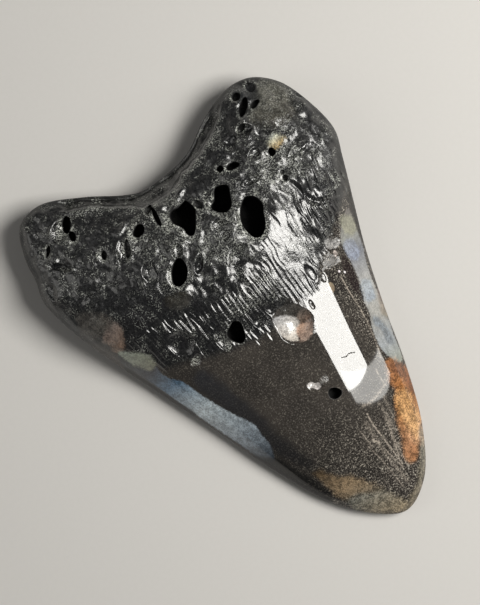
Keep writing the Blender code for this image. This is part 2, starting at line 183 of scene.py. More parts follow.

# Spots thick with pale crystals: oval, strength. The widest, over the band and across the root, are painted
# sheen where the softbox's reflection spreads.
CRYSTAL_AND_SHEEN_SPOTS = (
    (-6.4, 37.6, 3.6, 1.7, 75, 1), (-2.5, 41.2, 3, 1.2, 10, 0.7), (6, 36.6, 2.4, 1, 55, 1),
    (8, 29.4, 1.8, 1, 40, 0.8), (17.6, 30.4, 1.6, 1.2, 40, 0.7), (-29.5, 51.2, 3.6, 2.6, 60, 0.8),
    (-24.9, 41.6, 1.8, 1, 40, 0.9), (-20.9, 38.8, 1.8, 1.5, 30, 0.5), (-13, 42.8, 3, 1.2, 10, 0.8),
    (-37, 49.6, 1.3, 0.7, 60, 0.9), (-34.6, 43.4, 2.4, 0.7, -45, 0.8), (-17.4, 27.8, 1.6, 1.2, 0, 0.6),
    (36.2, 21.6, 0.5, 1.9, -8, 1), (37.7, 21.3, 0.5, 1.9, -8, 1), (39.3, 20.6, 0.5, 1.4, -8, 1),
    (37.8, 17.6, 0.6, 1, -20, 0.9), (35, 19.6, 3, 0.7, -15, 0.6), (-16, 44.6, 2.6, 0.7, -30, 0.7),
    (-11.6, 3.4, 3.2, 1.4, 78, 0.9), (-21.2, 3.8, 1.8, 1.4, 20, 0.8), (2.6, -20.4, 1.4, 1, -40, 0.8),
    (5.6, 0.2, 4, 1.8, 0, 0.9), (1, 9.5, 10, 4, 12, 0.5), (19, 13, 5, 4, 90, 0.35),
    (34.5, 41, 3, 2, 0, 0.6), (26.5, 33, 10, 7, 0, 0.6), (6, 25, 12, 7, 0, 0.55), (35, 47, 8, 8, 0, 0.45),
    (-10, 33, 8, 7, 0, 0.4), (37, 51, 3.4, 2.4, -30, 0.5), (9, 45.6, 3, 0.9, 20, 0.6),
)

# ---- the ridged band

# Ridges run along the tooth: X at the middle, lower Y, upper Y, lean towards +X going up, height
RIDGES = (
    (-25.5, 13, 18, 0.05, 0.29), (-22.5, 13.5, 18, 0, 0.34), (-19.6, 10.5, 16.5, 0, 0.38),
    (-18.2, 9.5, 15.5, 0, 0.34), (-16.6, 10, 16, 0.05, 0.38), (-15.2, 6.5, 11, 0, 0.29),
    (-13.4, 8.5, 13.5, 0, 0.38), (-12.1, 9, 12.5, 0, 0.29), (-8.5, 8, 12.5, 0, 0.41),
    (-6.3, 7, 13.2, 0, 0.29), (-4.3, 6, 12.5, 0, 0.29), (-3.2, -1, 10.5, 0, 0.3),
    (-1.9, 4.5, 11.5, 0, 0.37), (-0.4, 2, 10, 0, 0.37), (1.3, 5, 11.5, -0.03, 0.32),
    (2.7, 5, 11.5, -0.03, 0.3), (4, 5.5, 12, -0.05, 0.3), (5.2, 5, 12.5, -0.05, 0.32),
    (6.3, 6, 13.2, -0.05, 0.32), (7.6, 4, 13.5, -0.05, 0.27), (8.8, 4, 9.5, 0, 0.22),
    (10.3, 0, 7.5, 0, 0.2), (11.5, 1, 9, 0, 0.18), (12.6, 2, 10.5, 0, 0.18), (14, 2.5, 9.5, 0.03, 0.16),
    (15.5, 1.5, 9, 0.05, 0.14), (17, 3, 9, 0.05, 0.12), (18.8, 5.5, 11.5, 0.08, 0.17),
    (20.4, 7, 13.5, 0.08, 0.19), (21.6, 8, 17, 0.1, 0.21), (22.9, 8.5, 18, 0.12, 0.21),
    (24.2, 9, 18.5, 0.12, 0.33), (25.5, 10.5, 19, 0.14, 0.33), (26.8, 10, 19.5, 0.14, 0.33),
    (28.1, 12, 20, 0.16, 0.29), (29.4, 13, 20.5, 0.16, 0.26), (31, 14, 20, 0.18, 0.23),
    (33, 16, 21, 0.2, 0.2), (-6.5, -1.2, 1.2, 0, 0.17), (-5.2, -3.2, 1, 0, 0.17), (-1.9, -4, -0.5, 0, 0.19),
    (19.9, 14, 20, 0.1, 0.17), (17.8, 11, 17, 0.1, 0.15), (24.9, 19.5, 24.5, 0.3, 0.46),
    (27.8, 21, 26, 0.3, 0.46), (30.5, 22, 27.5, 0.3, 0.46), (33.2, 22.5, 28.5, 0.3, 0.46),
    (29, 24.5, 29, 0.35, 0.46), (35, 25.5, 30, 0.3, 0.46), (-26.8, 15.5, 19, 0.1, 0.24),
    (-9.9, 9.5, 14, 0.1, 0.29), (36.2, 19.6, 23.6, 0.1, 0.45), (37.7, 19.3, 23.4, 0.1, 0.45),
    (39.3, 19, 22.2, 0.1, 0.45), (37.6, 16.6, 18.6, 0.3, 0.4),
)
RIDGE_HALF_WIDTH = 0.33
FINE_RIDGE_SPACING = 1.3
FINE_RIDGE_HALF_WIDTH = 0.24
FINE_RIDGE_HEIGHTS = ((-14.0, 0.24), (4.0, 0.22), (12.0, 0.14), (22.0, 0.16))  # X, height
RIDGE_WAVE = 0.12  # how far a ridge strays from its line
RIDGE_WAVE_LENGTH = 9.0

# ---- grain of the root

# Where the root's grain ends and the polished crown begins: X, Y
CROWN_LINE = (
    (-45, 27), (-39, 21), (-34.5, 17), (-31, 11), (-29, 6), (-24, 4.5), (-18, 2), (-12, 0), (-4, -2),
    (4, -2), (10, -1.5), (16, -0.5), (20, 4), (25, 7.5), (31, 11.5), (36, 15), (40, 20), (45, 26),
)
CROWN_LINE_FADE = (-0.8, 2.2)
# Octaves of the root's relief: size of a lump across the tooth and along it, height
ROOT_OCTAVES = ((9.0, 9.0, 0.60), (4.2, 5.2, 1.05), (2.3, 3.4, 0.80), (1.3, 2.0, 0.34), (0.75, 1.0, 0.10))

# Between the crown and this line the ground of the ridged band is smooth
BAND_LINE = (
    (-45, 27), (-34, 18), (-28, 19), (-20, 18), (-10, 15), (0, 13), (8, 15.5), (13, 22), (17, 26), (21, 23),
    (30, 22), (40, 25), (45, 30),
)
BAND_FADE = (-3.0, 1.5)
BAND_GRAIN = 0.36  # share of the grain left in the band
# Where the relief is worn down most: oval, strength
WORN = (
    (16, 17, 13, 6.5, 95, 0.55), (15.6, 20, 7.5, 3.2, 95, 0.88), (12.5, 6, 7, 4, 10, 0.6),
    (4, 22, 6, 4, 0, 0.35),
)

# The root's lower left is worn smooth: the range of Y + 0.55 X over which its grain comes in
SMOOTH_SIDE = (4.0, 24.0)

# The ledge under the notch: the basal face beyond this line lies lower
LEDGE_LINE = (
    (-27, 56.5), (-24, 55), (-20, 53.5), (-15, 49.5), (-10.5, 46.5), (-8.5, 44.3), (-4, 43.6), (1, 43.8),
    (5, 45.6), (10, 46.6), (16, 48.8), (22, 52.5), (25, 55),
)
LEDGE_DROP = 2.0
LEDGE_WALL = 0.9
LEDGE_LIP = 0.3

# ---- spacing of the mesh

# Nets of points, each between two Y: spacing across and along the tooth
NETS = (
    (-62.5, -7.0, 0.50, 0.43),  # crown
    (-7.0, 27.0, 0.21, 0.42),  # ridged band: close across the ridges
    (27.0, 62.5, 0.30, 0.26),  # root
)
LABIAL_NET = (-62.5, 62.5, 0.95, 0.82)
RIM_RINGS = (0.03, 0.10, 0.22, 0.40, 0.65, 0.95)
CAVITY_RINGS = (-0.42, -0.2, -0.05, 0.0, 0.08, 0.2, 0.45, 0.75)  # outside the mouth to inside it
CAVITY_RING_SPACING = 0.28
CAVITY_RING_ZONE = (-0.58, 0.95)

# Pits of the labial face: oval, depth
LABIAL_PITS = (
    (16, 31, 2.4, 1.7, 35, 2.2), (-3.5, 27.5, 1.8, 1.4, 80, 2), (-21, 36, 2.8, 1.7, -40, 1.8),
    (27.5, 41.5, 1.6, 1.2, 0, 1.6), (-6.5, -8, 1.5, 1.1, 20, 0.9),
)


def linear(colour):
    """An sRGB hex colour as the linear red, green, blue and alpha that Blender works in."""
    parts = [int(colour[k:k + 2], 16) / 255 for k in (1, 3, 5)]
    return (*(c / 12.92 if c <= 0.04045 else ((c + 0.055) / 1.055) ** 2.4 for c in parts), 1.0)


def smooth_step(value, low, high):
    share = np.clip((value - low) / (high - low), 0, 1)
    return share * share * (3 - 2 * share)


def closed_curve(points, spacing=None, count=None):
    """A smooth closed curve through the points, as even samples."""
    before, here, after, beyond = (np.roll(points, shift, axis=0)[:, None] for shift in (1, 0, -1, -2))
    first, middle, last = (
        np.sqrt(np.linalg.norm(b - a, axis=2, keepdims=True))
        for a, b in ((before, here), (here, after), (after, beyond)))
    step = after - here
    leaving = step + middle * ((here - before) / first - (after - before) / (first + middle))
    arriving = step + middle * ((beyond - after) / last - (beyond - here) / (middle + last))
    t = np.linspace(0, 1, CURVE_STEPS, endpoint=False)[:, None]
    square = 3 * step - 2 * leaving - arriving
    run = (here + t * (leaving + t * (square + t * (leaving + arriving - 2 * step)))).reshape(-1, 2)
    run = np.vstack([run, run[:1]])
    length = np.concatenate([[0], np.cumsum(np.linalg.norm(np.diff(run, axis=0), axis=1))])
    at = np.linspace(0, length[-1], count or max(12, round(length[-1] / spacing)), endpoint=False)
    return np.column_stack([np.interp(at, length, run[:, k]) for k in (0, 1)])


def oval(x, y, half_length, half_width, turn):
    """The mouth of an oval cavity, a little uneven."""
    angles = np.arange(10) / 10 * 2 * math.pi
    reach = 1 + 0.2 * np.array([noise.noise(Vector((math.cos(a), math.sin(a), x + 7 * y))) for a in angles])
    along = half_length * np.cos(angles) * reach
    across = half_width * np.sin(angles) * reach
    c, s = math.cos(math.radians(turn)), math.sin(math.radians(turn))
    return np.column_stack([x + along * c - across * s, y + along * s + across * c])


def line_distance(x, y, points):
    """Distance from the line through the points."""
    nearest = np.full(x.shape, np.inf)
    for (start_x, start_y), (end_x, end_y) in zip(points, points[1:]):
        run_x, run_y = end_x - start_x, end_y - start_y
        share = np.clip(((x - start_x) * run_x + (y - start_y) * run_y) / (run_x**2 + run_y**2), 0, 1)
        nearest = np.minimum(nearest, (x - start_x - share * run_x) ** 2 + (y - start_y - share * run_y) ** 2)
    return np.sqrt(nearest)


def inside_distance(x, y, outline):
    """Distance to a closed outline in mm, positive inside it and negative outside."""
    closed = [*outline, outline[0]]
    inside = np.zeros(x.shape, bool)
    for (start_x, start_y), (end_x, end_y) in zip(closed, closed[1:]):
        if start_y != end_y:
            crossing = (end_x - start_x) * (y - start_y) / (end_y - start_y) + start_x
            inside ^= ((start_y > y) != (end_y > y)) & (x < crossing)
    return np.where(inside, 1, -1) * line_distance(x, y, closed)


def distance_from_rim(x, y, rim):
    """Distance inwards from the rim, with no crease where the two sides meet."""
    total = np.zeros_like(x)
    for start, end in zip(rim, np.roll(rim, -1, axis=0)):
        length = math.dist(start, end)
        ux, uy = (end - start) / length
        along = (x - start[0]) * ux + (y - start[1]) * uy
        off = np.maximum(np.abs((x - start[0]) * uy - (y - start[1]) * ux), 0.02)
        for s, sign in ((along, 1), (along - length, -1)):
            total += sign * (s / (2 * off**2 * (off**2 + s**2)) + np.arctan(s / off) / (2 * off**3))
    return (math.pi / 2 / total) ** (1 / 3)


def lumps(x, y, size, seed):
    """Smooth noise from about -1 to 1, whose lumps are that many mm across."""
    return np.array([noise.noise(Vector((a, b, seed))) for a, b in zip(x / size, y / size)]) * 1.6


def in_oval(x, y, middle_x, middle_y, half_length, half_width, turn):
    """Places measured from an oval's middle, as shares of its half length and half width."""
    c, s = math.cos(math.radians(turn)), math.sin(math.radians(turn))
    dx, dy = x - middle_x, y - middle_y
    return (dx * c + dy * s) / half_length, (dy * c - dx * s) / half_width


def rootness(y):
    """0 on the crown, 1 on the root."""
    return smooth_step(y, *CROWN_TO_ROOT)


def body_heights(x, y, inwards):
    """The lingual and the labial face before any fine relief."""
    rim, shoulder, rounding, labial_shoulder = (
        crown + (root - crown) * rootness(y)
        for crown, root in (RIM_HEIGHT, SHOULDER, EDGE_ROUNDING, LABIAL_SHOULDER))
    along_crown = np.clip((y + NOMINAL_LENGTH / 2) / (NOMINAL_LENGTH / 2 + 10), 0, 1)
    crest = TIP_CREST + (CROWN_BASE_CREST - TIP_CREST) * np.sin(along_crown * math.pi / 2)
    swelling = np.hypot(*in_oval(x, y, *SWELLING, 0))
    crest += (CREST - CROWN_BASE_CREST) * np.exp(-swelling**2)
    crest -= LOBE_FALL * np.logaddexp(0, (y - LOBE_FALL_FROM) / 4) * 4
    run = np.sqrt(inwards**2 + 2 * rounding * inwards)
    lingual = rim + (crest - rim) * (1 - np.exp(-run / shoulder))
    return lingual, rim * np.maximum(1 - run / labial_shoulder, 0) ** 2


def band_share(x, y):
    """1 in the ridged band and on the crown, 0 on the root."""
    return 1 - smooth_step(y - np.interp(x, *zip(*BAND_LINE)), *BAND_FADE)


def root_grain(x, y, inwards):
    """The uneven surface of the root, fading out on the polished crown."""
    root = smooth_step(y - np.interp(x, *zip(*CROWN_LINE)), *CROWN_LINE_FADE)
    share = root * smooth_step(inwards, 0.05, 1.6)
    share *= 0.3 + 0.7 * smooth_step(y + 0.55 * x, *SMOOTH_SIDE)
    share *= 1 - (1 - BAND_GRAIN) * band_share(x, y)
    rough = np.flatnonzero(share > 0)
    relief = np.zeros_like(x)
    for seed, (across, along, height) in enumerate(ROOT_OCTAVES):
        relief[rough] += height / 2 * lumps(x[rough], y[rough] * across / along, across, seed + 0.5)
    return relief * share, root, share


def ridge_relief(x, y):
    """Fine ridges side by side, each with its own length and lean."""
    relief = np.zeros_like(x)
    for number, (middle, low, high, lean, height) in enumerate(RIDGES):
        near = np.flatnonzero((np.abs(x - middle) < 4) & (y > low - 1) & (y < high + 1))
        px, py = x[near], y[near]
        wave = np.sin(py * 2 * math.pi / RIDGE_WAVE_LENGTH + number * 2.4) * RIDGE_WAVE
        off = px - middle - lean * (py - (low + high) / 2) - wave
        ends = smooth_step(py, low - 0.6, low + 1.2) * (1 - smooth_step(py, high - 1.4, high + 0.6))
        relief[near] += height * np.exp(-(off / RIDGE_HALF_WIDTH) ** 2) * ends
    return relief


def fine_ridges(x, y, share):
    """Broken rows of finer ridges that fill the band between the others."""
    relief = np.zeros_like(x)
    near = np.flatnonzero(share > 0)
    px, py = x[near], y[near]
    lean = 0.006 * (px - 5) * (py - 12)
    rows = (px - lean + 0.5 * lumps(px, py, 4, 51.5)) / FINE_RIDGE_SPACING
    off = (rows - np.round(rows)) * FINE_RIDGE_SPACING
    height = np.interp(px, *zip(*FINE_RIDGE_HEIGHTS)) * smooth_step(lumps(px, py / 6, 1.2, 57.5), -0.8, 0)
    relief[near] = height * np.exp(-(off / FINE_RIDGE_HALF_WIDTH) ** 2)
    return relief * share


def cavity_outlines():
    """Every cavity with a wall: its outline, depth and collar."""
    cavities = [*CAVITIES, *((oval(*place), depth, collar) for *place, depth, collar in OVAL_CAVITIES)]
    return [(closed_curve(mouth, spacing=CAVITY_RING_SPACING), *rest) for mouth, *rest in cavities]


def near_outline(x, y, outline, margin):
    """Whether each point is in the outline's own box or that close to it."""
    (low_x, low_y), (high_x, high_y) = outline.min(0) - margin, outline.max(0) + margin
    return (x > low_x) & (x < high_x) & (y > low_y) & (y < high_y)


def cavity_relief(x, y, cavities):
    """Depths of the cavities, their painted shade, less in shallow ones, and how far up a collar, both from 0
    to 1.
    """
    relief, hollow_shade, collar_crystals_and_highlight = np.zeros((3, *x.shape))
    for outline, depth, collar in cavities:
        near = np.flatnonzero(near_outline(x, y, outline, 3))
        inside = inside_distance(x[near], y[near], outline)
        sunk = smooth_step(inside, 0.01, MOUTH_WALL)
        from_middle = np.column_stack([x[near], y[near]]) - outline.mean(0)
        steep = 0.5 + 0.5 * from_middle @ COLLAR_STEEP_SIDE / np.maximum(np.hypot(*from_middle.T), 1e-6)
        fall = COLLAR_SLOPE * collar * (0.2 + 0.8 * steep)
        relief[near] -= depth * sunk + fall * smooth_step(inside, -collar, 0.3)
        # Painted shade inside the mouth, less in shallow cavities
        dark = smooth_step(inside, -0.1, 0.05) * min(1, depth / 3)
        hollow_shade[near] = np.maximum(hollow_shade[near], dark)
        # Painted highlight: a collar's pale crystals are weighted towards the side whose slope faces the
        # softbox
        around = smooth_step(inside, -1.3 * collar, -0.5 * collar) * (1 - sunk) * (0.4 + 0.6 * steep)
        collar_crystals_and_highlight[near] = np.maximum(collar_crystals_and_highlight[near], around)
    return relief, hollow_shade, collar_crystals_and_highlight


def bowl_relief(x, y):
    """Open bowls, whose floors are smooth and whose edges are crisp, and how far in a bowl each point is."""
    relief, share = np.zeros((2, *x.shape))
    for *place, depth, lip in BOWLS:
        middle_x, middle_y, half_length, half_width, _ = place
        along, across = in_oval(x, y, *place)
        angle = np.arctan2(across * half_width, along * half_length)
        uneven = 1 + 0.05 * np.cos(3 * angle + middle_x) + 0.03 * np.cos(5 * angle + middle_y)
        reach = np.hypot(along, across) / uneven
        relief += lip * np.exp(-((reach - 1.12) / 0.16) ** 2) - depth * np.clip(1 - reach**2, 0, 1) ** 0.8
        share = np.maximum(share, 1 - smooth_step(reach, 0.85, 1.05))
    return relief, share


def spot_share(x, y, spots):
    """How far in one of the oval spots each point is, times the spot's strength."""
    share = np.zeros_like(x)
    for *place, strength in spots:
        share = np.maximum(share, strength * (1 - smooth_step(np.hypot(*in_oval(x, y, *place)), 0.6, 1.1)))
    return share


def line_glow(x, y, points, half_width):
    """1 on the line through the points, falling away softly on both sides."""
    return np.exp(-(line_distance(x, y, points) / half_width) ** 2)


def furrow_relief(x, y):
    """The furrows, below the surface."""
    return sum(-depth * line_glow(x, y, points, half_width) for points, depth, half_width in FURROWS)


def line_points(points, half_width):
    """Points along a narrow line and on both its sides, so that the mesh can hold it."""
    rows = []
    for start, end in zip(points, points[1:]):
        side = np.array([start[1] - end[1], end[0] - start[0]]) / math.dist(start, end)
        places = np.linspace(start, end, max(2, round(math.dist(start, end) / 0.25)), endpoint=False)
        rows.extend(places + side * off for off in (-1.5 * half_width, 0, 1.5 * half_width))
    return rows


def bump_relief(x, y):
    """The bumps, above the surface."""
    return sum(height * np.exp(-np.hypot(*in_oval(x, y, *place)) ** 2) for *place, height in BUMPS)


def ledge_relief(x, y):
    """The drop beyond the ledge, how far beyond it each point is, and how near its edge."""
    beyond = y - np.interp(x, *zip(*LEDGE_LINE)) + 0.35 * lumps(x, y, 2.5, 31.0)
    ends = smooth_step(x, -28.0, -24.0) * (1 - smooth_step(x, 19, 25))
    lower = smooth_step(beyond, 0, LEDGE_WALL) * ends
    edge = np.exp(-((beyond + 0.7) / 0.7) ** 2) * ends
    return LEDGE_LIP * edge - LEDGE_DROP * lower, lower, edge


def net(low_y, high_y, across, along):
    """A staggered net of points between two Y."""
    rows = np.arange(low_y, high_y, along)
    starts = -NOMINAL_WIDTH / 2 + (np.arange(len(rows)) % 2) * across / 2
    columns = np.arange(0, NOMINAL_WIDTH, across)
    x = starts[:, None] + columns
    return np.column_stack([x.ravel(), np.repeat(rows, len(columns))])


def ring(outline, inwards):
    """The anticlockwise outline moved inwards by that much along its own normals."""
    along = np.roll(outline, -1, axis=0) - np.roll(outline, 1, axis=0)
    along /= np.linalg.norm(along, axis=1)[:, None]
    return outline + inwards * np.column_stack([-along[:, 1], along[:, 0]])


def triangulate(rim, inner):
    """Triangles over the rim and the points inside it. The rim's points come first and keep their order."""
    points = [Vector(map(float, p)) for p in np.vstack([rim, inner])]
    verts, _, faces, origins, _, _ = delaunay_2d_cdt(points, [], [list(range(len(rim)))], 1, 1e-7)
    if any(origin[0] != k for k, origin in enumerate(origins[:len(rim)])):
        raise RuntimeError("the rim's points came back in another order")
    return np.array([v[:] for v in verts]), np.array(faces)


def upper_points(rim, coarse_rim, cavities):
    """Points of the upper face: rings along the rim and the cavities, and nets between them."""
    nets = np.vstack([net(*numbers) for numbers in NETS])
    keep = inside_distance(*nets.T, coarse_rim) > RIM_RINGS[-1] + 0.2
    rings = [ring(rim, inwards) for inwards in RIM_RINGS]
    for outline, *_ in cavities:
        near = np.flatnonzero(near_outline(*nets.T, outline, 1))
        inside = inside_distance(*nets[near].T, outline)
        keep[near[(inside > CAVITY_RING_ZONE[0]) & (inside < CAVITY_RING_ZONE[1])]] = False
        for inwards in CAVITY_RINGS:
            moved = ring(outline, inwards)
            moved = moved[np.abs(inside_distance(*moved.T, outline) - inwards) < 0.08]
            rings.append(moved[inside_distance(*moved.T, coarse_rim) > RIM_RINGS[-1]])
    for points, _, half_width in (*FURROWS, *STREAKS_AND_GLINTS):
        if half_width < FINEST_NET_HOLDS:
            rings.extend(line_points(points, half_width))
    return np.vstack([*rings, nets[keep]])


def labial_points(rim, coarse_rim):
    """Points of the labial face: rings along the rim, and a net inside them."""
    nets = net(*LABIAL_NET)
    keep = inside_distance(*nets.T, coarse_rim) > RIM_RINGS[-1] + 0.4
    return np.vstack([*(ring(rim, inwards) for inwards in RIM_RINGS), nets[keep]])


def upper_height(x, y, inwards, cavities):
    """The finished upper face, and the masks that its material reads."""
    height = body_heights(x, y, inwards)[0]
    grain, root_share, grain_share = root_grain(x, y, inwards)
    edge = smooth_step(inwards, 0.0, 1.0)
    ledge, lower, ledge_edge = ledge_relief(x, y)
    cavity, cavity_shade, collar_crystals_and_highlight = cavity_relief(x, y, cavities)
    bowl, bowl_share = bowl_relief(x, y)
    left = 1 - spot_share(x, y, WORN)
    ridges = ridge_relief(x, y) + fine_ridges(x, y, band_share(x, y) * root_share * (1 - bowl_share))
    relief = (grain + ridges) * left + bump_relief(x, y) + bowl + ledge + cavity + furrow_relief(x, y)
    # Pale crystals, partly real and partly painted sheen and painted highlight
    crystals_and_sheen = np.maximum.reduce([collar_crystals_and_highlight * root_share, 0.8 * ledge_edge, spot_share(x, y, CRYSTAL_AND_SHEEN_SPOTS)])
    masks = {
        "root": root_share,
        "grain": np.maximum.reduce([grain_share, 0.6 * root_share, spot_share(x, y, ROUGH_SPOTS)]),
        # painted shade inside the cavities, which also makes them rough
        "cavity": cavity_shade,
        "bowl": bowl_share * (1 - cavity_shade),
        "crystals_and_sheen": crystals_and_sheen * edge,
        "shelf": lower,
        "margin": 1 - smooth_step(inwards, 0.5, 2.2),
    }
    height = height + relief * edge
    over = height - (SIZE[2] / MM - TOP_MARGIN)
    height = np.where(over > 0, height - over + TOP_MARGIN * (1 - np.exp(-over / TOP_MARGIN)), height)
    return height, masks


def labial_height(x, y, inwards):
    """The labial face, with its pits."""
    height = body_heights(x, y, inwards)[1]
    for *place, depth in LABIAL_PITS:
        height += depth * np.clip(1 - np.hypot(*in_oval(x, y, *place)) ** 2, 0, 1) ** 0.6
    return height
